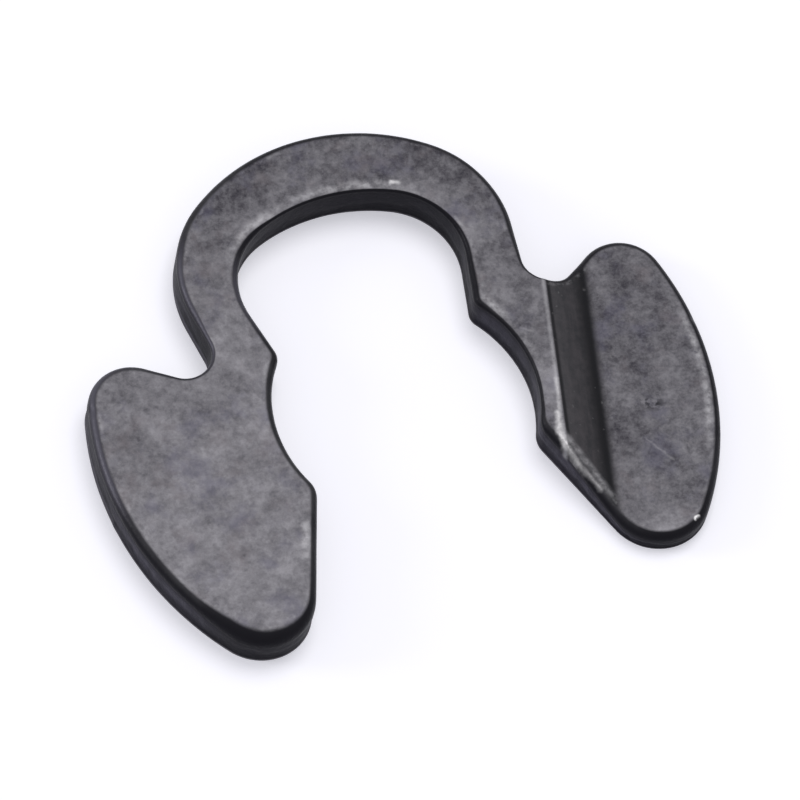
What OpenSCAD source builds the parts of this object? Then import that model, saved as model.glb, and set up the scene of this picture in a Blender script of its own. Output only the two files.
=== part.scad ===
// E-clip: a radial retaining ring, blanked from spring steel strip.
// The clip lies flat. The origin is the centre of the shaft groove at mid
// thickness, +Y points to the bow, and +Z to the face with the rolled edge.

/* [Groove seat] */
// Diameter of the groove bottom that the two lobes grip
groove_d = 8; // [7.6:0.1:8.6]
// Angle from the cross axis up to the upper corner of each seat
seat_upper_angle = 36; // [30:1:42]
// Rounding of the upper seat corner
seat_upper_r = 0.5; // [0.3:0.05:0.8]
// Angle from the cross axis down to the lower corner of each seat
seat_lower_angle = 24; // [18:1:32]
// Rounding of the lower seat corner
seat_lower_r = 0.75; // [0.3:0.05:1]

/* [Lobes] */
// Diameter over both lobes
outer_d = 19; // [18:0.1:20.5]
// Radius of the ear at the upper end of each lobe
ear_r = 1.35; // [1:0.05:1.5]
// Angle from the cross axis up to the ear
ear_angle = 15.8; // [14:0.1:18]
// Radius of the tip at the lower end of each lobe
tip_r = 1.6; // [1:0.05:2]
// Angle from the cross axis down to the tip
tip_angle = 37; // [32:0.1:42]

/* [Notches] */
// Radius of the notch between the bow and each ear
notch_r = 0.8; // [0.6:0.05:0.9]
// Distance of the notch centre from the centreline
notch_x = 5.8; // [5.7:0.05:6]
// Height of the notch centre above the groove centre
notch_y = 3.4; // [3.2:0.05:3.5]

/* [Bow] */
// Width over the bow
bow_w = 10.4; // [9.8:0.1:10.6]
// Height of the crown above the groove centre
bow_top = 9.3; // [8.8:0.1:9.8]
// Outer radius of the crown
crown_r = 6.3; // [5.6:0.1:7]
// Outer radius of the bow's shoulders
shoulder_r = 3.6; // [3:0.1:4]
// Width of the band at the crown
band_top = 2.15; // [1.8:0.05:2.5]
// Width of the band at the sides of the bow
band_side = 1.7; // [1.4:0.05:1.85]
// Inner radius of the crown
inner_crown_r = 5.4; // [4.8:0.1:6.4]
// Inner radius of the bow's shoulders
inner_shoulder_r = 2.3; // [1.8:0.05:2.8]

/* [Strip] */
// Thickness of the strip
thickness = 1.3; // [1:0.05:1.6]
// How far the rolled edge reaches in over the upper face
roll_w = 0.26; // [0.15:0.01:0.35]
// How far the rolled edge reaches down the wall
roll_h = 0.3; // [0.15:0.01:0.4]

/* [Pry step] */
// How far the outer part of the right lobe is pressed down
step_depth = 0.55; // [0.35:0.05:0.6]
// Run of the ramp, from its upper edge to its foot
ramp_run = 1.3; // [0.8:0.1:1.6]
// Where the ramp's upper edge crosses the cross axis
ramp_x = 4.75; // [4.5:0.05:5]
// Lean of the ramp from the centreline
ramp_lean = 14; // [8:1:16]
// Rounding of the ramp's upper edge
ramp_edge_r = 0.15; // [0.05:0.05:0.4]
// Fillet at the foot of the ramp
ramp_foot_r = 0.8; // [0.2:0.1:1.2]

/* [Hidden] */
$fn = 180;
steel = [0.17, 0.17, 0.185];
arc_angle = 12;    // largest turn between two points of the outline
arc_length = 0.5;  // longest stretch between two points of an arc
roll_steps = 4;    // flats across the rolled edge
ramp_steps = 4;    // flats across each round of the ramp
clear = 0.1;       // how far a cutter reaches past the metal
skin = 0.03;       // left on the seats for the groove's bore to take off
shortest = 0.01;   // straight stretches below this length are left out
overrun = 0.3;     // share of its last flat that the rolled edge runs on

groove_r = groove_d / 2;
outer_r = outer_d / 2;
bay_w = bow_w - 2 * band_side;
top_z = thickness / 2;
seat_r = groove_r - skin;
ramp_slope = atan(step_depth / ramp_run);
edge_tangent = ramp_edge_r * tan(ramp_slope / 2);
foot_tangent = ramp_foot_r * tan(ramp_slope / 2);

// The point at a distance and an angle from the groove centre
function polar(r, a) = [r * cos(a), r * sin(a)];

// A circle of the outline: centre and radius, negative where it is hollow
function round_at(centre, r) = [centre.x, centre.y, r];

// A circle inside a crown circle, out to a given width over both sides
function shoulder_in(crown, r, width) =
    let(side = (width / 2 - r) / (abs(crown.z) - r))
    [(abs(crown.z) - r) * side,
     crown.y + (abs(crown.z) - r) * sqrt(1 - side * side),
     sign(crown.z) * r];

crown = [0, bow_top - crown_r, crown_r];
inner_crown = [0, bow_top - band_top - inner_crown_r, -inner_crown_r];

// The circles of the right half, from the bow's shoulder down to the tip
// and back up through the seat to the inner shoulder
right_half = [
    shoulder_in(crown, shoulder_r, bow_w),
    [notch_x, notch_y, -notch_r],
    round_at(polar(outer_r - ear_r, ear_angle), ear_r),
    [0, 0, outer_r],
    round_at(polar(outer_r - tip_r, -tip_angle), tip_r),
    round_at(polar(seat_r + seat_lower_r, -seat_lower_angle), seat_lower_r),
    [0, 0, -seat_r],
    round_at(polar(seat_r + seat_upper_r, seat_upper_angle), seat_upper_r),
    shoulder_in(inner_crown, inner_shoulder_r, bay_w)
];
left_half = [for (i = [len(right_half) - 1:-1:0])
    [-right_half[i].x, right_half[i].y, right_half[i].z]];

// The whole outline, clockwise from the crown
walk = concat([crown], right_half, [inner_crown], left_half);
count = len(walk);

// Direction of the outward normal where one circle hands over to the next
function handover(p, q) =
    let(d = [q.x - p.x, q.y - p.y], k = (p.z - q.z) / norm(d))
    atan2(d.y, d.x) + acos(max(-1, min(1, k)));

leave = [for (i = [0:count - 1]) handover(walk[i], walk[(i + 1) % count])];
enter = [for (i = [0:count - 1]) leave[(i + count - 1) % count]];

function whole_turn(a) = a - 360 * floor(a / 360);
function sweep(i) = whole_turn(sign(walk[i].z) * (enter[i] - leave[i]));
function on_round(i, a) = [walk[i].x, walk[i].y] + polar(walk[i].z, a);

// Length of the straight stretch from one circle to the next
function straight_after(i) =
    norm(on_round((i + 1) % count, leave[i]) - on_round(i, leave[i]));

// Outward normals along one circle. The last one is left to the next circle
// where the two touch
function normals(i) =
    let(steps = ceil(max(sweep(i) / arc_angle,
                         sweep(i) * PI / 180 * abs(walk[i].z) / arc_length)),
        last = straight_after(i) > shortest ? steps : steps - 1)
    [for (k = [0:last]) enter[i] - sign(walk[i].z) * sweep(i) * k / steps];

// The outline's points, each with the direction of its outward normal
outline = [for (i = [0:count - 1]) for (a = normals(i))
    concat(on_round(i, a), [a])];

// How far a point lies beyond the ramp's upper edge
function past_ramp(p) = (p.x - ramp_x) * cos(ramp_lean) - p.y * sin(ramp_lean);

// Height of the upper face at a point, from the face of the bow
function face_z(p) = -step_depth * max(0, min(1, past_ramp(p) / ramp_run));

// The rolled edge, from the wall to the face: reach in from the wall and
// height below the face. Its last flat runs on a little above the face
roll = [for (k = [0:roll_steps]) let(a = 90 * k / roll_steps)
    [roll_w * (1 - cos(a)), roll_h * (sin(a) - 1)]];
run_on = (roll[roll_steps] - roll[roll_steps - 1]) * overrun;

// The ring of points at one level of the blank
function ring(reach, z) = [for (p = outline)
    let(q = [p.x, p.y] - polar(reach, p.z)) [q.x, q.y, face_z(q) + z]];
function flat_ring(reach, z) = [for (p = outline)
    let(q = [p.x, p.y] - polar(reach, p.z)) [q.x, q.y, z]];

// The blank with its rolled edge, and with metal to spare on both faces
module rolled_blank() {
    inner = roll[roll_steps] + run_on;
    rings = concat([flat_ring(0, -thickness - clear)],
        [for (k = [0:roll_steps - 1]) ring(roll[k].x, roll[k].y)],
        [ring(inner.x, inner.y), flat_ring(inner.x, clear)]);
    n = len(outline);
    last = len(rings) - 1;
    polyhedron([for (r = rings) each r], concat(
        [[for (i = [n - 1:-1:0]) i], [for (i = [0:n - 1]) last * n + i]],
        [for (k = [0:last - 1]) for (i = [0:n - 1]) let(j = (i + 1) % n) each [
            [k * n + i, k * n + n + j, k * n + n + i],
            [k * n + i, k * n + j, k * n + n + j]]]));
}

// Everything above the clip's face: level over the bow, then down the ramp
// to the pressed-down part of the right lobe
module above_face() {
    translate([ramp_x, 0]) rotate(-ramp_lean) rotate([90, 0, 0])
        linear_extrude(2 * outer_d, center = true) polygon(concat(
            [[-2 * outer_d, 0]],
            [for (k = [0:ramp_steps]) let(a = 90 - ramp_slope * k / ramp_steps)
                [-edge_tangent, -ramp_edge_r] + polar(ramp_edge_r, a)],
            [for (k = [0:ramp_steps])
                let(a = 270 - ramp_slope * (1 - k / ramp_steps))
                [ramp_run + foot_tangent, ramp_foot_r - step_depth]
                + polar(ramp_foot_r, a)],
            [[outer_d, -step_depth], [outer_d, thickness],
             [-2 * outer_d, thickness]]));
}

// Everything below the clip's flat lower face
module below_face() {
    translate([-outer_d, -outer_d, -3 * thickness])
        cube([2 * outer_d, 2 * outer_d, 2 * thickness]);
}

module e_clip() {
    color(steel) translate([0, 0, top_z]) difference() {
        difference() {
            rolled_blank();
            above_face();
            below_face();
        }
        translate([0, 0, -thickness]) rotate(90)
            cylinder(3 * thickness, r = groove_r, center = true);
    }
}

e_clip();
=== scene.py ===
import math
import bpy
import bmesh
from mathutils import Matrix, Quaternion, Vector, kdtree, noise


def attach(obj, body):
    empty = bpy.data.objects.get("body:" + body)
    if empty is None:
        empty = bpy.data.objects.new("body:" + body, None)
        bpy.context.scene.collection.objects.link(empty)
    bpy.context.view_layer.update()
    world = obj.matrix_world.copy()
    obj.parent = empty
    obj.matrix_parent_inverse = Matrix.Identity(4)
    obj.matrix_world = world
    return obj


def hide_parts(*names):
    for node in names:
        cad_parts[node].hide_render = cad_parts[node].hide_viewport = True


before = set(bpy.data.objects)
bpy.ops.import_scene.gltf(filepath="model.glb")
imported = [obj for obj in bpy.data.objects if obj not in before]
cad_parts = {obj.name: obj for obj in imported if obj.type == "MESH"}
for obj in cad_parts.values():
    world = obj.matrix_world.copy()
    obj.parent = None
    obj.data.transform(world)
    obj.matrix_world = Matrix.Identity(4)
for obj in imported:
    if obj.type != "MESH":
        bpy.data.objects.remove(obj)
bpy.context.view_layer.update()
print("frame loaded")

mm = 0.001
slack = 0.001                    # for picking edges by their height, in millimetres
fineSlack = 0.0001               # for telling the wall's points from the roll's

# the clip's own sizes, in millimetres and degrees
clip = {
    "grooveWidth": 8.0,          # across the two seats
    "seatUpperAngle": 36.0,
    "seatUpperRound": 0.5,
    "seatLowerAngle": 24.0,
    "seatLowerRound": 0.75,
    "outerWidth": 19.0,          # over both lobes
    "earRound": 1.35,
    "earAngle": 15.8,
    "tipRound": 1.6,
    "tipAngle": 37.0,
    "notchRound": 0.8,
    "notchPlace": (5.8, 3.4),
    "bowWidth": 10.4,
    "bowTop": 9.3,
    "crownRound": 6.3,
    "shoulderRound": 3.6,
    "bandAtCrown": 2.15,
    "bandAtSides": 1.7,
    "innerCrownRound": 5.4,
    "innerShoulderRound": 2.3,
    "thickness": 1.3,
    "rollIn": 0.26,              # rolled edge, in over the face
    "rollDown": 0.3,             # and down the wall
    "rollParts": 8,
    # where the roll is wider or narrower: place, how far it holds and fades out, factor
    "rollChanges": [
        ((0.4, 5.2), 2.6, 3.8, 0.35), ((5.4, 2.9), 0.2, 2.0, 0.5), ((-5.4, 2.9), 0.2, 2.0, 0.5),
        ((-6.8, -6.3), 0.4, 2.8, 1.7), ((6.9, -6.3), 0.3, 3.0, 1.1), ((4.0, 0.4), 1.4, 3.0, 0.45),
        ((-5.2, 4.9), 0.6, 2.4, 0.75),
    ],
    "rollLeast": 0.25,           # smallest factor, where several of them meet
    "rollBlend": 1.0,            # how far in the face's points move with the roll
    "burrRound": 0.03,           # break of the sharp lower edge
    "burrParts": 2,
    "stepDepth": 0.55,           # pressed-down part of the right lobe
    "rampRun": 1.3,
    "rampPlace": 4.75,
    "rampLean": 14.0,
    "rampEdgeRound": 0.15,
    "rampEdgeParts": 2,          # parts of each half of the edge's rounding
    "rampFootRound": 0.8,
    "rampFootParts": 3,
    # where the wall and the roll get painted shade, near black: place, how far it holds and fades
    # out
    "paintedShadePlaces": [
        ((0.0, 4.3), 3.2, 4.2), ((-6.3, -6.6), 1.6, 3.4), ((6.9, -6.3), 1.0, 3.0),
        ((3.0, 9.0), 4.0, 7.0), ((9.5, 1.0), 4.0, 7.0), ((-5.7, 3.2), 0.8, 1.8),
    ],
    # where the roll gets a painted highlight and the wall painted shade, the same way
    "paintedSheenPlaces": [((-9.5, 1.6), 1.4, 3.4), ((-5.2, 4.8), 1.2, 2.8)],
    # edges that are rubbed bright, the same way
    "wornPlaces": [
        ((-2.4, 6.8), 0.5, 1.5), ((0.6, 7.2), 0.8, 2.4), ((-4.4, -3.5), 0.4, 1.0),
        ((4.3, -3.5), 0.8, 1.6), ((3.7, 2.4), 0.3, 1.3), ((9.1, -1.5), 1.0, 3.5),
        ((5.0, 0.8), 0.3, 1.8),
    ],
    # lighter and darker clouds on the faces: place, how far it holds and fades out, amount
    "clouds": [
        ((-8.5, 2.6), 0.3, 1.7, -0.16), ((-8.6, 0.4), 0.2, 1.6, -0.16),
        ((-3.2, 7.9), 0.3, 2.0, -0.13), ((6.2, -3.0), 0.3, 1.6, -0.2),
        ((7.0, -0.2), 0.2, 1.4, -0.14), ((2.7, 6.4), 0.3, 1.3, 0.32),
        ((3.6, 4.8), 0.3, 1.5, 0.2), ((4.2, 3.0), 0.2, 1.3, 0.14),
        ((-4.5, 3.2), 0.2, 1.2, 0.2), ((-4.3, 0.3), 0.2, 1.3, 0.12),
        ((9.0, 0.4), 0.2, 1.3, 0.12), ((6.0, -5.9), 0.1, 1.1, 0.25),
        ((-7.0, -0.2), 0.2, 1.0, 0.12), ((4.2, -0.8), 0.4, 1.3, 0.26),
        ((-1.0, 7.5), 0.2, 1.2, 0.1), ((-2.3, 6.9), 0.3, 1.1, 0.2),
        ((-2.1, 8.6), 0.4, 1.6, -0.14), ((3.7, 7.6), 0.3, 1.5, -0.16),
    ],
    "arcTurn": 5.0,              # longest turn between two points
    "arcStretch": 0.14,          # longest stretch between two points
    "leastTurn": 1e-6,           # shorter turns, in radians, are left out
    "leastStretch": 0.01,        # and so are shorter straights
    "outlineWeld": 0.008,        # points of the outline closer than this become one
    "gridStretch": 0.2,          # mesh size on the two faces
    "quickGridStretch": 0.8,
    "wallStretch": 0.1,          # mesh size down the wall
    "cutSlack": 0.0005,          # points nearer to a cut than this count as on it
    "cutWeld": 0.001,            # points left by the cuts closer than this become one
    "edgePoints": 4,             # places measured on each stretch of the outline
    "smoothAngle": 35.0,
}

# what every point is told about its place, for the wear, the painted shade and highlights, and the
# finish
pointValues = ("reach", "height", "paintedShade", "paintedSheen", "rubbed", "cloud")


def deselectAll():
    for o in bpy.context.selected_objects:
        o.select_set(False)


# picks the faces or edges of the mesh in edit mode that a test holds for
def pick(o, kind, test):
    mesh = bmesh.from_edit_mesh(o.data)
    for part in (*mesh.faces, *mesh.edges):
        part.select_set(False)
    found = [part for part in getattr(mesh, kind) if test(part)]
    for part in found:
        part.select_set(True)
    bmesh.update_edit_mesh(o.data)
    return len(found)


# the outline is a belt round these circles, walked clockwise from the crown:
# x, y and radius, negative where the outline is hollow
def outlineRounds(c):
    def polar(r, a):
        return r * math.cos(math.radians(a)), r * math.sin(math.radians(a))

    def shoulderIn(crownY, crownR, r, width, sign):
        apart = crownR - r
        side = (width / 2 - r) / apart
        return apart * side, crownY + apart * math.sqrt(1 - side * side), sign * r

    seat, outer = c["grooveWidth"] / 2, c["outerWidth"] / 2
    bay = c["bowWidth"] - 2 * c["bandAtSides"]
    crownY = c["bowTop"] - c["crownRound"]
    innerY = c["bowTop"] - c["bandAtCrown"] - c["innerCrownRound"]
    right = [
        shoulderIn(crownY, c["crownRound"], c["shoulderRound"], c["bowWidth"], 1),
        (*c["notchPlace"], -c["notchRound"]),
        (*polar(outer - c["earRound"], c["earAngle"]), c["earRound"]),
        (0, 0, outer),
        (*polar(outer - c["tipRound"], -c["tipAngle"]), c["tipRound"]),
        (*polar(seat + c["seatLowerRound"], -c["seatLowerAngle"]), c["seatLowerRound"]),
        (0, 0, -seat),
        (*polar(seat + c["seatUpperRound"], c["seatUpperAngle"]), c["seatUpperRound"]),
        shoulderIn(innerY, c["innerCrownRound"], c["innerShoulderRound"], bay, -1),
    ]
    left = [(-x, y, r) for x, y, r in reversed(right)]
    return [(0, crownY, c["crownRound"]), *right, (0, innerY, -c["innerCrownRound"]), *left]


# direction of the outward normal where one circle hands over to the next
def handOver(p, q):
    dx, dy = q[0] - p[0], q[1] - p[1]
    k = (p[2] - q[2]) / math.hypot(dx, dy)
    return math.atan2(dy, dx) + math.acos(max(-1.0, min(1.0, k)))


# one vertex is spun round each circle and pushed along each straight
def drawOutline(c):
    rounds = outlineRounds(c)
    count = len(rounds)
    leave = [handOver(rounds[i], rounds[(i + 1) % count]) for i in range(count)]
    x, y, r = rounds[0]
    start = Vector((x + r * math.cos(leave[-1]), y + r * math.sin(leave[-1]),
                    -c["thickness"] / 2))
    deselectAll()
    bpy.ops.mesh.primitive_plane_add(size=0.1, location=start)
    o = bpy.context.object
    bpy.ops.object.transform_apply(location=True, rotation=True, scale=True)
    bpy.ops.object.mode_set(mode="EDIT")
    bpy.ops.mesh.select_mode(type="VERT")
    bpy.ops.mesh.select_all(action="SELECT")
    bpy.ops.mesh.merge(type="CENTER")
    for i, (x, y, r) in enumerate(rounds):
        turn = (leave[i - 1] - leave[i]) * (1 if r > 0 else -1) % (2 * math.pi)
        if turn > c["leastTurn"]:
            steps = math.ceil(max(math.degrees(turn) / c["arcTurn"],
                                  turn * abs(r) / c["arcStretch"]))
            bpy.ops.mesh.spin(steps=steps, angle=turn if r > 0 else -turn,
                              center=(x, y, 0), axis=(0, 0, 1))
        xn, yn, rn = rounds[(i + 1) % count]
        outward = Vector((math.cos(leave[i]), math.sin(leave[i]), 0))
        along = Vector((xn - x, yn - y, 0)) + outward * (rn - r)
        if along.length > c["leastStretch"]:
            parts = math.ceil(along.length / c["arcStretch"])
            for _ in range(parts):
                bpy.ops.mesh.extrude_region_move(TRANSFORM_OT_translate={"value": along / parts})
    bpy.ops.mesh.select_all(action="SELECT")
    bpy.ops.mesh.remove_doubles(threshold=c["outlineWeld"])
    return o


# rolled upper edge and broken lower edge
def rollEdges(o, c):
    half = c["thickness"] / 2
    squeeze = c["rollIn"] / c["rollDown"]
    bpy.ops.mesh.select_mode(type="EDGE")
    bpy.ops.mesh.select_all(action="SELECT")
    bpy.ops.transform.resize(value=(1, 1, squeeze), center_override=(0, 0, 0))
    pick(o, "edges", lambda e: all(v.co.z > half * squeeze - slack for v in e.verts))
    bpy.ops.mesh.bevel(offset_type="OFFSET", offset=c["rollIn"], segments=c["rollParts"],
                       profile=0.5, affect="EDGES", clamp_overlap=False)
    bpy.ops.mesh.select_all(action="SELECT")
    bpy.ops.transform.resize(value=(1, 1, 1 / squeeze), center_override=(0, 0, 0))
    pick(o, "edges", lambda e: all(v.co.z < slack - half for v in e.verts))
    bpy.ops.mesh.bevel(offset_type="OFFSET", offset=c["burrRound"], segments=c["burrParts"],
                       profile=0.5, affect="EDGES", clamp_overlap=False)
    bpy.ops.mesh.select_mode(type="FACE")


def isWall(face):
    return abs(face.normal.z) < 0.01


def isFlat(face):
    return abs(face.normal.z) > 0.999


def spread(low, high, step):
    parts = max(1, math.ceil((high - low) / step))
    return [low + (high - low) * k / parts for k in range(1, parts)]


# cuts that the wall, the ramp and the two faces are shaped by
def cutClip(o, c):
    def cutAcross(place, normal, test):
        if pick(o, "faces", test):
            bpy.ops.mesh.bisect(plane_co=place, plane_no=normal, threshold=c["cutSlack"])

    half = c["thickness"] / 2
    for z in spread(c["burrRound"] - half, half - c["rollDown"], c["wallStretch"]):
        cutAcross((0, 0, z), (0, 0, 1), isWall)
    lean = math.radians(c["rampLean"])
    slope = math.atan(c["stepDepth"] / c["rampRun"])
    edgeIn = c["rampEdgeRound"] * math.tan(slope / 2)
    footIn = c["rampFootRound"] * math.tan(slope / 2)
    edgeParts, footParts = c["rampEdgeParts"], c["rampFootParts"]
    stations = [edgeIn * k / edgeParts for k in range(-edgeParts, edgeParts + 1)]
    stations += [c["rampRun"] + footIn * k / footParts for k in range(-footParts, footParts + 1)]
    for s in stations:
        cutAcross((c["rampPlace"] + s * math.cos(lean), -s * math.sin(lean), 0),
                  (math.cos(lean), -math.sin(lean), 0), lambda face: True)
    grid = c["gridStretch"]
    width = c["outerWidth"] / 2
    for x in spread(-width, width, grid):
        cutAcross((x, 0, 0), (1, 0, 0), isFlat)
    for y in spread(-width, c["bowTop"], grid):
        cutAcross((0, y, 0), (0, 1, 0), isFlat)
    bpy.ops.mesh.select_all(action="SELECT")
    bpy.ops.mesh.remove_doubles(threshold=c["cutWeld"])


# 1 out to where a place holds, then down to 0 where it ends
def nearPlace(p, place, holds, ends):
    share = (ends - math.hypot(p.x - place[0], p.y - place[1])) / (ends - holds)
    share = max(0.0, min(1.0, share))
    return share * share * (3 - 2 * share)


# widens or narrows the rolled edge at one point of the upper half
def changeRoll(c, v, nearest, inward):
    factor = 1.0
    for place, holds, ends, wanted in c["rollChanges"]:
        factor += (wanted - 1) * nearPlace(nearest, place, holds, ends)
    factor = max(c["rollLeast"], factor)
    width, blend, far = c["rollIn"], c["rollBlend"], inward.length
    if factor == 1 or far > blend:
        return
    if far < width:
        wanted = far * factor
    else:
        wanted = width * factor + (far - width) / (blend - width) * (blend - width * factor)
    if far > fineSlack:
        v.co += inward * (wanted / far - 1)
    half = c["thickness"] / 2
    wallTop = half - c["rollDown"]
    if v.co.z > wallTop - fineSlack:
        v.co.z = half - (half - v.co.z) * factor
    else:
        v.co.z *= (half - c["rollDown"] * factor) / wallTop


# tells each point how far it is from the edge of its face and which places it is near,
# before the lobe is pressed, and changes the roll's width on the way
def measurePoints(o, c, outline):
    mesh = o.data
    between = c["edgePoints"]
    tree = kdtree.KDTree(len(outline) * between)
    for i, p in enumerate(outline):
        q = outline[(i + 1) % len(outline)]
        for k in range(between):
            spot = Vector((p.x, p.y, 0)).lerp(Vector((q.x, q.y, 0)), k / between)
            tree.insert(spot, i * between + k)
    tree.balance()
    for name in pointValues:
        mesh.attributes.new(name, "FLOAT", "POINT")
    reach, height, paintedShade, paintedSheen, rubbed, cloud = (mesh.attributes[name].data for name in pointValues)
    thickness, rollTop = c["thickness"], c["thickness"] - c["rollDown"]
    for v in mesh.vertices:
        flat = Vector((v.co.x, v.co.y, 0))
        nearest, _, inward = tree.find(flat)
        up = v.co.z + thickness / 2
        if up > rollTop:
            far = inward - c["rollIn"]
        elif up < c["burrRound"]:
            far = inward
        else:
            far = -min(up, c["rollIn"] + rollTop - up)
        reach[v.index].value = far
        height[v.index].value = up / thickness
        # painted shade on the walls and roll, and a painted highlight on the roll, by place
        paintedShade[v.index].value = max(nearPlace(nearest, *p) for p in c["paintedShadePlaces"])
        paintedSheen[v.index].value = max(nearPlace(nearest, *p) for p in c["paintedSheenPlaces"])
        rubbed[v.index].value = max(nearPlace(nearest, *p) for p in c["wornPlaces"])
        cloud[v.index].value = sum(amount * nearPlace(flat, *p) for *p, amount in c["clouds"])
        if up > thickness / 2:
            changeRoll(c, v, nearest, flat - nearest)


def pastRamp(c, x, y):
    lean = math.radians(c["rampLean"])
    return (x - c["rampPlace"]) * math.cos(lean) - y * math.sin(lean)


# drop of the face at a distance past the ramp's upper edge
def rampDrop(c, s):
    slope = math.atan(c["stepDepth"] / c["rampRun"])
    edge, foot = c["rampEdgeRound"], c["rampFootRound"]
    edgeIn, footIn = edge * math.tan(slope / 2), foot * math.tan(slope / 2)
    if s <= -edgeIn:
        return 0.0
    if s < edge * math.sin(slope) - edgeIn:
        return edge - math.sqrt(edge * edge - (s + edgeIn) ** 2)
    out = c["rampRun"] + footIn
    if s >= out:
        return c["stepDepth"]
    if s > out - foot * math.sin(slope):
        return c["stepDepth"] - foot + math.sqrt(foot * foot - (s - out) ** 2)
    return c["stepDepth"] * s / c["rampRun"]


# the outer part of the right lobe is pressed down, its rolled edge with it
def pressLobe(o, c):
    half = c["thickness"] / 2
    keep = half - c["rollDown"]
    for v in o.data.vertices:
        drop = rampDrop(c, pastRamp(c, v.co.x, v.co.y))
        if drop > 0:
            if v.co.z >= keep - fineSlack:
                v.co.z -= drop
            else:
                v.co.z = -half + (v.co.z + half) * (keep - drop + half) / (keep + half)


def buildClip(c):
    o = drawOutline(c)
    o.name = "clipBody"
    outline = [v.co.copy() for v in bmesh.from_edit_mesh(o.data).verts]
    print("outline drawn,", len(outline), "points")

    bpy.ops.mesh.edge_face_add()
    bpy.ops.mesh.extrude_region_move(TRANSFORM_OT_translate={"value": (0, 0, c["thickness"])})
    bpy.ops.mesh.select_all(action="SELECT")
    bpy.ops.mesh.normals_make_consistent(inside=False)
    rollEdges(o, c)
    print("edges rolled")

    cutClip(o, c)
    bpy.ops.object.mode_set(mode="OBJECT")
    print("cuts made")

    measurePoints(o, c, outline)
    pressLobe(o, c)
    print("lobe pressed,", len(o.data.polygons), "faces")
    return o


# small damage to the metal: places, sizes and depths in millimetres,
# heights on the wall as shares of the thickness
damage = {
    "waves": (1.6, 0.014),            # size and height of the face's unevenness
    "fracture": (0.22, 0.05),         # size and depth of the torn part of the wall
    "tearTop": 0.5,                   # height that it reaches
    "tearWander": [(0.9, 0.22), (3.5, 0.1)],    # how its upper end wanders: noise scale, amount
    "tearFade": 0.12,
    "tearStop": 0.75,                 # nothing is torn above this
    "tearFoot": (0.03, 0.35),         # below this height only a share of the depth
    "pits": [((7.2, -2.05), 0.3, 0.03), ((7.5, 0.10), 0.2, 0.02), ((-7.1, 1.9), 0.22, 0.015),
             ((-4.9, -4.1), 0.24, 0.015), ((2.4, 8.1), 0.3, 0.015), ((-2.9, 7.3), 0.25, 0.015)],
    "pitRagged": (6, 0.5),            # noise scale and amount
    "nicks": [((7.14, -6.12), 0.14, 0.02), ((2.22, 7.0), 0.13, 0.03), ((-3.6, -2.3), 0.14, 0.04),
              ((9.4, 0.4), 0.14, 0.04), ((-9.1, 2.4), 0.16, 0.04)],
    "nickPush": (0.6, 0.8),           # shares of the depth that go in and down
    "bowCentre": (2, 4),              # nicks above the second y go in towards the first
    "burr": ((-9.42, -0.9), 0.14, 0.06),
    "burrHeight": (-0.5, 0.16),       # its middle and half its length down the wall
    "spotFall": 2.2,                  # how fast a pit, a nick or the burr fades
    "spotEnd": 1.6,                   # and where it stops, in sizes
    "spotLevel": -0.1,                # pits and nicks stay above this z, the burr below it
}


def weightBy(o, name, weigh):
    group = o.vertex_groups.new(name=name)
    heights = [a.value for a in o.data.attributes["height"].data]
    reaches = [a.value for a in o.data.attributes["reach"].data]
    for v in o.data.vertices:
        w = weigh(v.co, heights[v.index], reaches[v.index])
        if w > 0:
            group.add([v.index], min(1.0, w), "REPLACE")


def displaceBy(o, name, size, amount, group=""):
    texture = bpy.data.textures.new(name, "CLOUDS")
    texture.noise_scale = size
    texture.noise_depth = 3
    push = o.modifiers.new(name, "DISPLACE")
    push.texture = texture
    push.texture_coords = "LOCAL"
    push.strength = amount
    push.mid_level = 1.0              # only inwards, so that the clip keeps its size
    push.vertex_group = group
    bpy.ops.object.modifier_apply(modifier=name)


# uneven faces, and a torn lower part of the wall
def roughenClip(o, d):
    def torn(p, height, reach):
        if reach > 0 or height > d["tearStop"]:
            return 0
        top = d["tearTop"] + sum(amount * noise.noise(p * scale)
                                 for scale, amount in d["tearWander"])
        footHeight, footShare = d["tearFoot"]
        share = max(0.0, min(1.0, (top - height) / d["tearFade"]))
        return share * (footShare if height < footHeight else 1)

    displaceBy(o, "faceWaves", *d["waves"])
    weightBy(o, "tornWall", torn)
    displaceBy(o, "tornWall", *d["fracture"], "tornWall")


def markClip(o, d, half):
    def upperPoints(x, y, size):
        for v in o.data.vertices:
            far = math.hypot(v.co.x - x, v.co.y - y) / size
            if far < d["spotEnd"] and v.co.z > d["spotLevel"]:
                yield v, math.exp(-d["spotFall"] * far * far)

    scale, amount = d["pitRagged"]
    for (x, y), size, depth in d["pits"]:
        for v, share in upperPoints(x, y, size):
            ragged = 1 + amount * noise.noise(v.co * scale)
            v.co.z -= depth * ragged * share
    pushIn, pushDown = d["nickPush"]
    bowCentre, bowFrom = d["bowCentre"]
    for (x, y), size, depth in d["nicks"]:
        outward = Vector((x, y - (bowCentre if y > bowFrom else 0), 0)).normalized()
        for v, share in upperPoints(x, y, size):
            push = depth * share
            v.co.z -= push * pushDown
            v.co -= outward * push * pushIn
    (x, y), size, height = d["burr"]
    middle, halfLength = d["burrHeight"]
    outward = Vector((x, y, 0)).normalized()
    for v in o.data.vertices:
        far = math.hypot(math.hypot(v.co.x - x, v.co.y - y) / size,
                         (v.co.z - middle) / halfLength)
        if far < d["spotEnd"] and v.co.z < d["spotLevel"]:
            v.co += outward * height * math.exp(-d["spotFall"] * far * far)
        v.co.z = max(-half, min(half, v.co.z))


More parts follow.
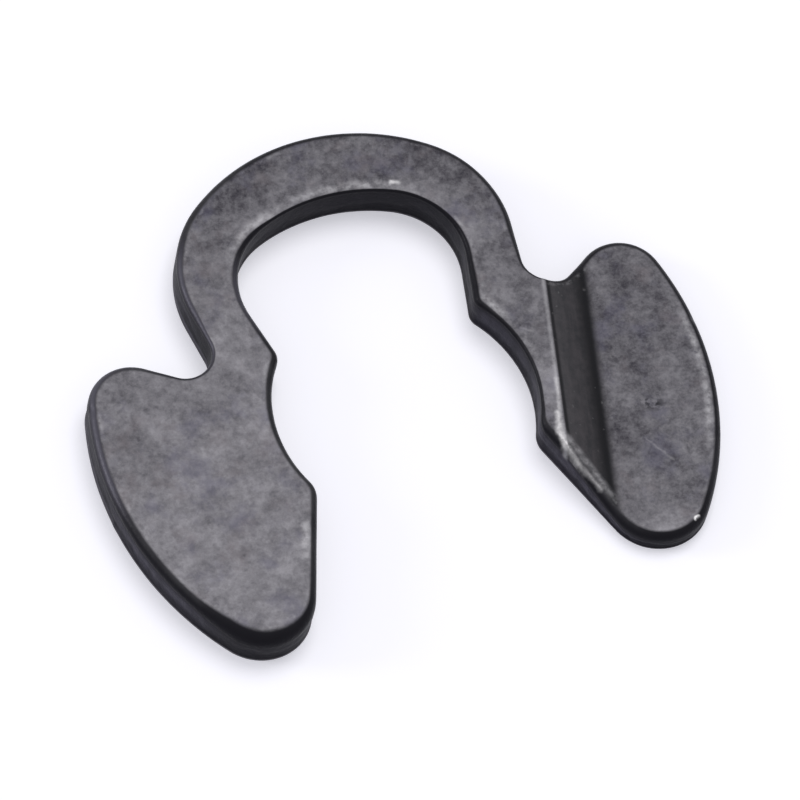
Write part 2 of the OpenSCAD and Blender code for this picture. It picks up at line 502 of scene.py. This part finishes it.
body = buildClip(clip)
roughenClip(body, damage)
markClip(body, damage, clip["thickness"] / 2)
bpy.ops.object.mode_set(mode="EDIT")
bpy.ops.mesh.select_all(action="SELECT")
bpy.ops.transform.resize(value=(mm, mm, mm), center_override=(0, 0, 0))
bpy.ops.object.mode_set(mode="OBJECT")
bpy.ops.object.shade_smooth_by_angle(angle=math.radians(clip["smoothAngle"]))
print("clip built,", len(body.data.polygons), "faces")


# links or sets the named sockets of a node
def fillSockets(tree, made, values):
    for name, value in values.items():
        if isinstance(value, bpy.types.NodeSocket):
            tree.links.new(value, made.inputs[name])
        else:
            made.inputs[name].default_value = value


def addNode(tree, kind, values=None, **settings):
    made = tree.nodes.new("ShaderNode" + kind)
    for name, value in settings.items():
        setattr(made, name, value)
    fillSockets(tree, made, values or {})
    return made


def calc(tree, operation, *values, clamp=False):
    made = addNode(tree, "Math", dict(enumerate(values)), operation=operation, use_clamp=clamp)
    return made.outputs[0]


def times(tree, first, *others):
    for other in others:
        first = calc(tree, "MULTIPLY", first, other)
    return first


def greatest(tree, first, *others):
    for other in others:
        first = calc(tree, "MAXIMUM", first, other)
    return first


# value times amount, plus base
def scaled(tree, value, amount, base):
    return calc(tree, "MULTIPLY_ADD", value, amount, base)


# one minus the value
def without(tree, value):
    return calc(tree, "SUBTRACT", 1.0, value)


def vectorCalc(tree, operation, *values, gives=0):
    made = addNode(tree, "VectorMath", dict(enumerate(values)), operation=operation)
    return made.outputs[gives]


def rise(tree, value, low, high):
    made = addNode(tree, "MapRange", {0: value, 1: low, 2: high},
                   interpolation_type="SMOOTHSTEP")
    return made.outputs[0]


# 1 near the centre, 0 past the end on both sides
def lineAt(tree, value, centre, holds, ends):
    off = calc(tree, "ABSOLUTE", calc(tree, "SUBTRACT", value, centre))
    return without(tree, rise(tree, off, holds, ends))


def mixColour(tree, share, first, second):
    made = addNode(tree, "Mix", {0: share, 6: first, 7: second}, data_type="RGBA")
    return made.outputs[2]


# a group that takes places and numbers and gives one mask
def newGroup(name, *labels):
    group = bpy.data.node_groups.new(name, "ShaderNodeTree")
    for label in labels:
        kind = "Vector" if label in ("Place", "Start", "End") else "Float"
        group.interface.new_socket(name=label, in_out="INPUT", socket_type="NodeSocket" + kind)
    group.interface.new_socket(name="Mask", in_out="OUTPUT", socket_type="NodeSocketFloat")
    takes = group.nodes.new("NodeGroupInput").outputs
    return group, takes, group.nodes.new("NodeGroupOutput").inputs["Mask"]


def useGroup(tree, group, **values):
    made = tree.nodes.new("ShaderNodeGroup")
    made.node_tree = group
    fillSockets(tree, made, values)
    return made.outputs[0]


def makeMottle():
    group, takes, mask = newGroup("mottle", "Place", "Size", "Low", "High", "Seed")
    moved = vectorCalc(group, "ADD", takes["Place"], takes["Seed"])
    scale = calc(group, "DIVIDE", 1.0, takes["Size"])
    cloud = addNode(group, "TexNoise", {"Vector": moved, "Scale": scale,
                                        "Detail": 4.0, "Roughness": 0.62}).outputs[0]
    group.links.new(rise(group, cloud, takes["Low"], takes["High"]), mask)
    return group


def makeSpecks():
    group, takes, mask = newGroup("specks", "Place", "Spacing", "Size", "Share", "Seed")
    moved = vectorCalc(group, "ADD", takes["Place"], takes["Seed"])
    wobble = addNode(group, "TexNoise", {"Vector": moved, "Scale": 9.0, "Detail": 2.0})
    bent = vectorCalc(group, "MULTIPLY_ADD", wobble.outputs["Color"], (0.16, 0.16, 0.16), moved)
    scale = calc(group, "DIVIDE", 1.0, takes["Spacing"])
    cells = addNode(group, "TexVoronoi", {"Vector": bent, "Scale": scale}).outputs
    apart = times(group, cells["Distance"], takes["Spacing"])
    near = without(group, rise(group, apart, 0.0, takes["Size"]))
    chance = addNode(group, "SeparateColor", {0: cells["Color"]}).outputs[0]
    chosen = calc(group, "LESS_THAN", chance, takes["Share"])
    group.links.new(times(group, near, chosen), mask)
    return group


# a broken line at a distance from an edge: the share sets how much of it shows
def makeEdgeWear():
    group, takes, mask = newGroup("edgeWear", "Place", "Reach", "Centre", "Width",
                                  "Spacing", "Share")
    band = lineAt(group, takes["Reach"], takes["Centre"], 0.0, takes["Width"])
    scale = calc(group, "DIVIDE", 1.0, takes["Spacing"])
    cloud = addNode(group, "TexNoise", {"Vector": takes["Place"], "Scale": scale,
                                        "Detail": 5.0, "Roughness": 0.7}).outputs[0]
    # the noise shows above a level that falls as the share grows
    low = calc(group, "SUBTRACT", 0.72, times(group, takes["Share"], 0.45))
    shown = rise(group, cloud, low, calc(group, "ADD", low, 0.12))
    group.links.new(times(group, band, shown), mask)
    return group


# a mark from one place to another
def makeScratch():
    group, takes, mask = newGroup("scratch", "Place", "Start", "End", "Width")
    fromStart = vectorCalc(group, "SUBTRACT", takes["Place"], takes["Start"])
    whole = vectorCalc(group, "SUBTRACT", takes["End"], takes["Start"])
    dot = vectorCalc(group, "DOT_PRODUCT", fromStart, whole, gives="Value")
    own = vectorCalc(group, "DOT_PRODUCT", whole, whole, gives="Value")
    share = calc(group, "DIVIDE", dot, own, clamp=True)
    onLine = addNode(group, "VectorMath", {0: whole, "Scale": share},
                     operation="SCALE").outputs[0]
    away = vectorCalc(group, "DISTANCE", fromStart, onLine, gives="Value")
    group.links.new(without(group, rise(group, away, 0.0, takes["Width"])), mask)
    return group


# colours are linear, sizes in millimetres; a pair of numbers is where a mask starts and ends,
# and under a name in Shares it is an amount and a base
finish = {
    # the faces' grey, partly painted reflection of the overhead light on the dark oxide
    "faceDark": (0.036, 0.0335, 0.042, 1),
    "faceLight": (0.285, 0.277, 0.296, 1),
    "violet": (0.100, 0.096, 0.138, 1),
    "warm": (0.152, 0.132, 0.140, 1),
    # rim and roll: the rolled edge in painted shade, near black where it turns down, lighter
    # towards the face
    "rim": (0.006, 0.0056, 0.0088, 1),
    "roll": (0.048, 0.047, 0.052, 1),
    "wall": (0.056, 0.053, 0.073, 1),
    "torn": (0.009, 0.008, 0.015, 1),
    # painted highlight on the roll
    "paintedSheen": (0.080, 0.077, 0.096, 1),
    # the ramp's colours: painted shade, darkest at its foot
    "rampTop": (0.046, 0.046, 0.050, 1),
    "ramp": (0.032, 0.032, 0.0355, 1),
    "rampFoot": (0.0095, 0.0095, 0.0115, 1),
    "bright": (0.36, 0.355, 0.37, 1),
    "bare": (0.60, 0.59, 0.60, 1),
    "speck": (0.30, 0.295, 0.30, 1),
    "pit": (0.026, 0.025, 0.030, 1),
    "specular": 0.1,
    # heights are shares of the thickness, reach is how far in from the edge of a face
    "upperFrom": (0.6, 0.75),
    "faceFrom": (-0.09, 0.02),
    # clouds of each size: size, where the noise starts and ends to show, seed
    "mottles": {
        "broad": (2.6, 0.36, 0.64, 3.0),
        "middle": (0.9, 0.35, 0.65, 11.0),
        "fine": (0.3, 0.33, 0.67, 23.0),
        "grain": (0.1, 0.3, 0.7, 31.0),
        "violet": (1.1, 0.5, 0.72, 47.0),
        "warm": (1.0, 0.52, 0.74, 59.0),
    },
    # the faces' tone, from dark to light, and what adds to it
    "toneBase": -0.075,
    "toneShares": {"grain": 0.17, "fine": 0.23, "middle": 0.2, "broad": 0.1},
    "paintedLightWay": (0.5, 0.6, 0.0),     # painted light: the faces get darker this way
    "paintedLightEnds": (8.0, -8.0),
    "paintedLightShare": 0.4,
    "tintShares": {"violet": 0.45, "warm": 0.4},
    # the ramp's painted shade, measured from its upper edge
    "rampFrom": (-0.02, 0.05),
    "rampUntil": (1.25, 1.6),
    "rampFade": (0.1, 0.8),          # from the upper colour to the lower one
    "footFrom": (0.75, 1.25),
    "footUntil": (1.3, 1.55),
    "rampEdgeShade": (0.07, 0.02, 0.1),   # painted shade line at the edge: place, how far it holds and ends
    "rampEdgeShadeShare": 0.85,
    "drawnStretch": (5.0, 0.6, 0.6),    # drawn lines: noise scale across, along and down
    "drawnShows": (0.3, 0.7),
    "drawnShare": 0.12,
    "rampFineShare": 0.12,
    # the walls: the torn part's upper end wanders, and streaks run down
    "streakStretch": (2.6, 2.6, 0.5),   # noise scale
    "streakShows": (0.35, 0.7),
    "streakShares": (0.6, 0.3),
    "tearWander": 0.5,
    "tearEnds": (0.22, 0.4),
    "shearEnds": (0.76, 0.62),
    # the rolled edge in painted shade, near black where it turns down
    "rimHeight": (0.72, 0.8),
    "rimReach": (-0.34, -0.24),
    "rollReach": (-0.24, -0.05),
    "rollShares": (0.5, 0.5),
    # painted shade on walls and roll by place, and a painted highlight on the roll
    "paintedShadeShare": 0.88,
    "paintedSheenDark": 0.7,
    "paintedSheenLine": (-0.14, 0.02, 0.14),
    # worn lines along an edge: centre, width, spacing and share that shows
    "faceLine": (0.04, 0.09, 0.7, 0.42),
    "faceLineShare": 0.25,
    "stepLine": (-0.06, 0.1, 0.25, 0.9),
    "stepLineEnds": (0.0, -2.5),
    "stepLineShares": (0.25, 0.36),
    "rubbedLine": (0.1, 0.2, 0.3, 1.0),
    "rubbedShare": 0.65,
    "rubbedShares": (0.7, 0.3),
    # specks: spacing, size, share that shows, seed
    "lightSpecks": (0.55, 0.09, 0.3, 5.0),
    "lightShare": 0.3,
    "tinySpecks": (0.25, 0.05, 0.35, 7.0),
    "tinyShare": 0.25,
    "darkSpecks": (0.5, 0.1, 0.3, 13.0),
    "darkShare": 0.35,
    "speckShares": (0.7, 0.3),
    # light marks: start, end, width and strength
    "marks": [
        ((6.56, -3.0, 0), (7.1, -3.95, 0), 0.065, 0.11),
        ((7.02, -5.96, 0), (7.13, -5.9, 0), 0.085, 1.3),
        ((2.1, 7.05, 0), (2.32, 6.98, 0), 0.13, 0.7),
        ((4.52, -0.6, 0), (4.24, -1.6, 0), 0.1, 0.3),
        ((4.16, -1.7, 0), (3.98, -2.3, 0), 0.15, 0.75),
        ((3.98, -2.3, 0), (4.0, -2.75, 0), 0.15, 0.7),
        ((4.0, -2.75, 0), (4.2, -3.4, 0), 0.14, 0.55),
        ((4.2, -3.4, 0), (4.62, -4.3, 0), 0.13, 0.4),
        ((4.1, 1.3, 0), (4.4, 1.1, 0), 0.08, 0.13),
    ],
    # dark marks, the same way
    "stains": [((7.05, -1.9, 0), (7.3, -2.04, 0), 0.32, 1.0),
               ((7.6, 0.25, 0), (7.8, 0.28, 0), 0.2, 0.6)],
    "markHeight": (0.77, 0.82),      # marks keep off the walls
    "markWobble": 0.16,
    "markShares": (0.4, 0.7),
    "stainShows": (0.9, 0.2),
    "metallic": (0.5, 0.25),         # amount of the wear, and base
    "roughness": (-0.12, 0.62),      # amount of the tone, and base
    "rimPolish": 0.2,
    "reliefShares": {"fine": 0.6, "grain": 0.35},
    "spotRelief": 0.5,
    "bump": (0.4, 0.02),             # strength and depth
}


# places and masks that the parts of the finish share
def findZones(tree, f, c):
    coord = addNode(tree, "TexCoord").outputs["Object"]
    toMillimetres = (1 / mm,) * 3
    lean = math.radians(c["rampLean"])
    place = addNode(tree, "Mapping", {"Vector": coord, "Scale": toMillimetres}).outputs[0]
    alongRamp = addNode(tree, "Mapping", {
        "Vector": coord, "Scale": toMillimetres, "Rotation": (0, 0, lean),
        "Location": (-c["rampPlace"] * math.cos(lean), 0, 0)}).outputs[0]
    rampAxes = addNode(tree, "SeparateXYZ", {0: alongRamp}).outputs
    z = {"place": place, "alongRamp": alongRamp, "past": rampAxes[0], "lower": rampAxes[1]}
    for name in pointValues:
        z[name] = addNode(tree, "Attribute", attribute_name=name).outputs["Fac"]
    mottle = makeMottle()
    for name, (size, low, high, seed) in f["mottles"].items():
        z[name + "Mottle"] = useGroup(tree, mottle, Place=place, Size=size, Low=low,
                                      High=high, Seed=seed)
    z["upper"] = rise(tree, z["height"], *f["upperFrom"])
    z["onFace"] = rise(tree, z["reach"], *f["faceFrom"])
    return z


# the flat faces: mottled grey with faint violet and brown clouds, the grey partly painted
# reflection of the overhead light, and painted light making them lighter towards the left tip
def paintFace(tree, f, z):
    across = vectorCalc(tree, "DOT_PRODUCT", z["place"], f["paintedLightWay"], gives="Value")
    tone = calc(tree, "ADD", z["cloud"], f["toneBase"])
    for name, share in f["toneShares"].items():
        tone = scaled(tree, z[name + "Mottle"], share, tone)
    tone = scaled(tree, rise(tree, across, *f["paintedLightEnds"]), f["paintedLightShare"], tone)
    face = mixColour(tree, tone, f["faceDark"], f["faceLight"])
    for name, share in f["tintShares"].items():
        face = mixColour(tree, times(tree, z[name + "Mottle"], share), face, f[name])
    return face, tone


# the ramp in painted shade, darker than the faces, with faint drawn lines along it and painted
# shade lines at its edge and its foot
def paintRamp(tree, f, z, face):
    past = z["past"]
    onRamp = times(tree, rise(tree, past, *f["rampFrom"]),
                   without(tree, rise(tree, past, *f["rampUntil"])))
    foot = times(tree, rise(tree, past, *f["footFrom"]),
                 without(tree, rise(tree, past, *f["footUntil"])))
    edge = times(tree, lineAt(tree, past, *f["rampEdgeShade"]), f["rampEdgeShadeShare"])
    dark = greatest(tree, foot, edge)
    ramp = mixColour(tree, rise(tree, past, *f["rampFade"]), f["rampTop"], f["ramp"])
    ramp = mixColour(tree, dark, ramp, f["rampFoot"])
    lines = addNode(tree, "Mapping", {"Vector": z["alongRamp"],
                                      "Scale": f["drawnStretch"]}).outputs[0]
    drawn = addNode(tree, "TexNoise", {"Vector": lines, "Scale": 1.0, "Detail": 3.0,
                                       "Roughness": 0.6}).outputs[0]
    polish = scaled(tree, rise(tree, drawn, *f["drawnShows"]), f["drawnShare"],
                    times(tree, z["fineMottle"], f["rampFineShare"]))
    ramp = mixColour(tree, times(tree, polish, without(tree, dark)), ramp, f["warm"])
    return mixColour(tree, times(tree, onRamp, z["upper"]), face, ramp)


# walls: smooth sheared part above, torn part below, with marks down the wall; the rolled edge in
# painted shade, and painted shade and highlights by place
def paintWalls(tree, f, z):
    height, reach = z["height"], z["reach"]
    down = addNode(tree, "Mapping", {"Vector": z["place"],
                                     "Scale": f["streakStretch"]}).outputs[0]
    streaks = addNode(tree, "TexNoise", {"Vector": down, "Scale": 1.0, "Detail": 5.0,
                                         "Roughness": 0.7}).outputs[0]
    wander = addNode(tree, "TexNoise", {"Vector": z["place"], "Scale": 1.1,
                                        "Detail": 4.0}).outputs[0]
    tearLine = scaled(tree, calc(tree, "SUBTRACT", wander, 0.5), f["tearWander"], height)
    sheared = times(tree, rise(tree, tearLine, *f["tearEnds"]),
                    rise(tree, height, *f["shearEnds"]))
    streaked = scaled(tree, rise(tree, streaks, *f["streakShows"]), *f["streakShares"])
    wall = mixColour(tree, times(tree, sheared, streaked), f["torn"], f["wall"])

    # painted shade on the rolled edge, near black where it turns down, lighter towards the face
    rimZone = times(tree, rise(tree, height, *f["rimHeight"]), rise(tree, reach, *f["rimReach"]))
    roll = times(tree, rise(tree, reach, *f["rollReach"]),
                 scaled(tree, z["middleMottle"], *f["rollShares"]))
    side = mixColour(tree, rimZone, wall, mixColour(tree, roll, f["rim"], f["roll"]))
    # painted shade: walls and roll near black by place
    side = mixColour(tree, times(tree, z["paintedShade"], f["paintedShadeShare"]), side, f["rim"])
    # painted highlight on the roll and painted shade on the wall beside it, by place
    side = mixColour(tree, times(tree, z["paintedSheen"], f["paintedSheenDark"]), side, f["rim"])
    midRoll = lineAt(tree, reach, *f["paintedSheenLine"])
    side = mixColour(tree, times(tree, z["paintedSheen"], midRoll), side, f["paintedSheen"])
    return side, rimZone, streaks


# light and dark marks, slightly bent
def findMarks(tree, f, z):
    flat = vectorCalc(tree, "MULTIPLY", z["place"], (1, 1, 0))
    wobble = addNode(tree, "TexNoise", {"Vector": flat, "Scale": 4.0, "Detail": 3.0})
    wobble = vectorCalc(tree, "SUBTRACT", wobble.outputs["Color"], (0.5, 0.5, 0.5))
    bent = vectorCalc(tree, "MULTIPLY_ADD", wobble, (f["markWobble"], f["markWobble"], 0), flat)
    scratch = makeScratch()
    found = []
    for rows in (f["marks"], f["stains"]):
        spots = [times(tree, useGroup(tree, scratch, Place=bent, Start=start, End=end,
                                      Width=width), strength)
                 for start, end, width, strength in rows]
        found.append(times(tree, greatest(tree, *spots),
                           rise(tree, z["height"], *f["markHeight"])))
    marks, stains = found
    return marks, times(tree, stains, rise(tree, z["fineMottle"], *f["stainShows"]))


# wear: light lines where the faces end, specks, and marks
def paintWear(tree, f, z, colour):
    specks, edgeWear = makeSpecks(), makeEdgeWear()
    marks, stains = findMarks(tree, f, z)

    def speckle(name):
        spacing, size, share, seed = f[name]
        return useGroup(tree, specks, Place=z["place"], Spacing=spacing, Size=size,
                        Share=share, Seed=seed)

    def wornLine(name, reach):
        centre, width, spacing, share = f[name]
        return useGroup(tree, edgeWear, Place=z["place"], Reach=reach, Centre=centre,
                        Width=width, Spacing=spacing, Share=share)

    darkSpecks = speckle("darkSpecks")
    dark = greatest(tree, times(tree, darkSpecks, f["darkShare"]), stains)
    colour = mixColour(tree, times(tree, dark, z["onFace"]), colour, f["pit"])
    light = greatest(tree, times(tree, speckle("lightSpecks"), f["lightShare"]),
                     times(tree, speckle("tinySpecks"), f["tinyShare"]))
    light = times(tree, light, z["onFace"], scaled(tree, z["broadMottle"], *f["speckShares"]))
    colour = mixColour(tree, light, colour, f["speck"])

    faceLine = times(tree, wornLine("faceLine", z["reach"]), f["faceLineShare"])
    stepLine = times(tree, z["upper"], wornLine("stepLine", z["past"]),
                     scaled(tree, rise(tree, z["lower"], *f["stepLineEnds"]),
                            *f["stepLineShares"]))
    rubbedLine = times(tree, wornLine("rubbedLine", z["reach"]), z["rubbed"], z["upper"],
                       f["rubbedShare"], scaled(tree, z["fineMottle"], *f["rubbedShares"]))
    worn = greatest(tree, faceLine, stepLine, rubbedLine)
    colour = mixColour(tree, worn, colour, f["bright"])
    bare = calc(tree, "MULTIPLY", marks, scaled(tree, z["fineMottle"], *f["markShares"]),
                clamp=True)
    colour = mixColour(tree, bare, colour, f["bare"])
    return colour, greatest(tree, worn, bare), greatest(tree, marks, darkSpecks)


# black oxide, with painted shade, painted highlights and a painted reflection on the faces
def blackOxide(f, c):
    material = bpy.data.materials.new("blackOxide")
    material.use_nodes = True
    tree = material.node_tree
    shader = tree.nodes["Principled BSDF"]
    z = findZones(tree, f, c)
    face, tone = paintFace(tree, f, z)
    face = paintRamp(tree, f, z, face)
    side, rimZone, streaks = paintWalls(tree, f, z)
    colour = mixColour(tree, z["onFace"], side, face)
    colour, worn, spots = paintWear(tree, f, z, colour)
    tree.links.new(colour, shader.inputs["Base Color"])
    tree.links.new(scaled(tree, worn, *f["metallic"]), shader.inputs["Metallic"])
    offFace = without(tree, z["onFace"])
    rough = calc(tree, "SUBTRACT", scaled(tree, tone, *f["roughness"]),
                 times(tree, rimZone, offFace, f["rimPolish"]))
    tree.links.new(rough, shader.inputs["Roughness"])
    shader.inputs["Specular IOR Level"].default_value = f["specular"]

    relief = times(tree, offFace, streaks)
    for name, share in f["reliefShares"].items():
        relief = scaled(tree, z[name + "Mottle"], share, relief)
    relief = calc(tree, "SUBTRACT", relief, times(tree, spots, f["spotRelief"]))
    strength, depth = f["bump"]
    bump = addNode(tree, "Bump", {"Height": relief, "Strength": strength,
                                  "Distance": depth * mm})
    tree.links.new(bump.outputs[0], shader.inputs["Normal"])
    return material


body.name = "blackClip"
body.data.materials.clear()
body.data.materials.append(blackOxide(finish, clip))
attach(body, "root")
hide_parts("e_clip")
print("finish laid on")

# studio, in metres: plain white floor, a wide soft lamp above and behind, a lamp at the left
studio = {
    "floorSize": 0.3,
    "floorGap": 0.002,                # below the clip, in millimetres
    "floorColour": (0.8, 0.795, 0.83, 1),
    "floorLift": 0.41,                # the floor's own light for the camera, so that it is white
    "floorLiftColour": (0.94, 0.94, 1.0, 1),
    "ambient": 0.42,
    "ambientColour": (0.93, 0.93, 1.0, 1),
    "keyPlace": (0.13, 0.18, 0.50), "keySize": 0.36, "keyPower": 1.25,
    "sidePlace": (-0.38, 0.18, 0.12), "sideSize": 0.16, "sidePower": 0.5,
}


def seenRay(tree):
    ray = addNode(tree, "LightPath").outputs
    return greatest(tree, ray["Is Camera Ray"], ray["Is Glossy Ray"], ray["Is Transmission Ray"])


def buildFloor(t, c):
    deselectAll()
    level = -(c["thickness"] / 2 + t["floorGap"]) * mm
    bpy.ops.mesh.primitive_plane_add(size=t["floorSize"], location=(0, 0, level))
    floor = bpy.context.object
    floor.name = "floor"
    bpy.ops.object.transform_apply(location=True, rotation=True, scale=True)
    white = bpy.data.materials.new("whiteFloor")
    white.use_nodes = True
    tree = white.node_tree
    shader = tree.nodes["Principled BSDF"]
    shader.inputs["Base Color"].default_value = t["floorColour"]
    shader.inputs["Roughness"].default_value = 0.9
    shader.inputs["Specular IOR Level"].default_value = 0.1
    shader.inputs["Emission Color"].default_value = t["floorLiftColour"]
    tree.links.new(times(tree, seenRay(tree), t["floorLift"]), shader.inputs["Emission Strength"])
    floor.data.materials.append(white)


def buildLight(t):
    world = bpy.data.worlds.new("studio")
    bpy.context.scene.world = world
    world.use_nodes = True
    tree = world.node_tree
    tree.nodes.clear()
    soft = addNode(tree, "Background", {"Color": t["ambientColour"], "Strength": t["ambient"]})
    white = addNode(tree, "Background", {"Color": (1, 1, 1, 1), "Strength": 1.0})
    both = addNode(tree, "MixShader", {0: seenRay(tree), 1: soft.outputs[0], 2: white.outputs[0]})
    out = tree.nodes.new("ShaderNodeOutputWorld")
    tree.links.new(both.outputs[0], out.inputs["Surface"])

    for name in ("key", "side"):
        place = Vector(t[name + "Place"])
        bpy.ops.object.light_add(type="AREA", location=place)
        lamp = bpy.context.object
        lamp.name = name + "Lamp"
        lamp.data.shape = "DISK"
        lamp.data.size = t[name + "Size"]
        lamp.data.energy = t[name + "Power"]
        lamp.rotation_euler = (-place).to_track_quat("-Z", "Y").to_euler()


# camera, its places in millimetres
view = {
    "place": (-77.09, -116.33, 254.14),
    "aim": (-0.017, 0.354, 0.0),
    "turn": 14.7,
    "lens": 440,
}


def buildCamera(v):
    place, aim = Vector(v["place"]) * mm, Vector(v["aim"]) * mm
    bpy.ops.object.camera_add(location=place)
    camera = bpy.context.object
    camera.rotation_mode = "QUATERNION"
    turn = Quaternion((0, 0, 1), math.radians(v["turn"]))
    camera.rotation_quaternion = (aim - place).to_track_quat("-Z", "Y") @ turn
    camera.data.lens = v["lens"]
    camera.data.sensor_width = 36
    camera.data.clip_start = 0.01
    bpy.context.scene.camera = camera


buildFloor(studio, clip)
buildLight(studio)
buildCamera(view)
bpy.context.scene.view_settings.view_transform = "Standard"
print("studio set")
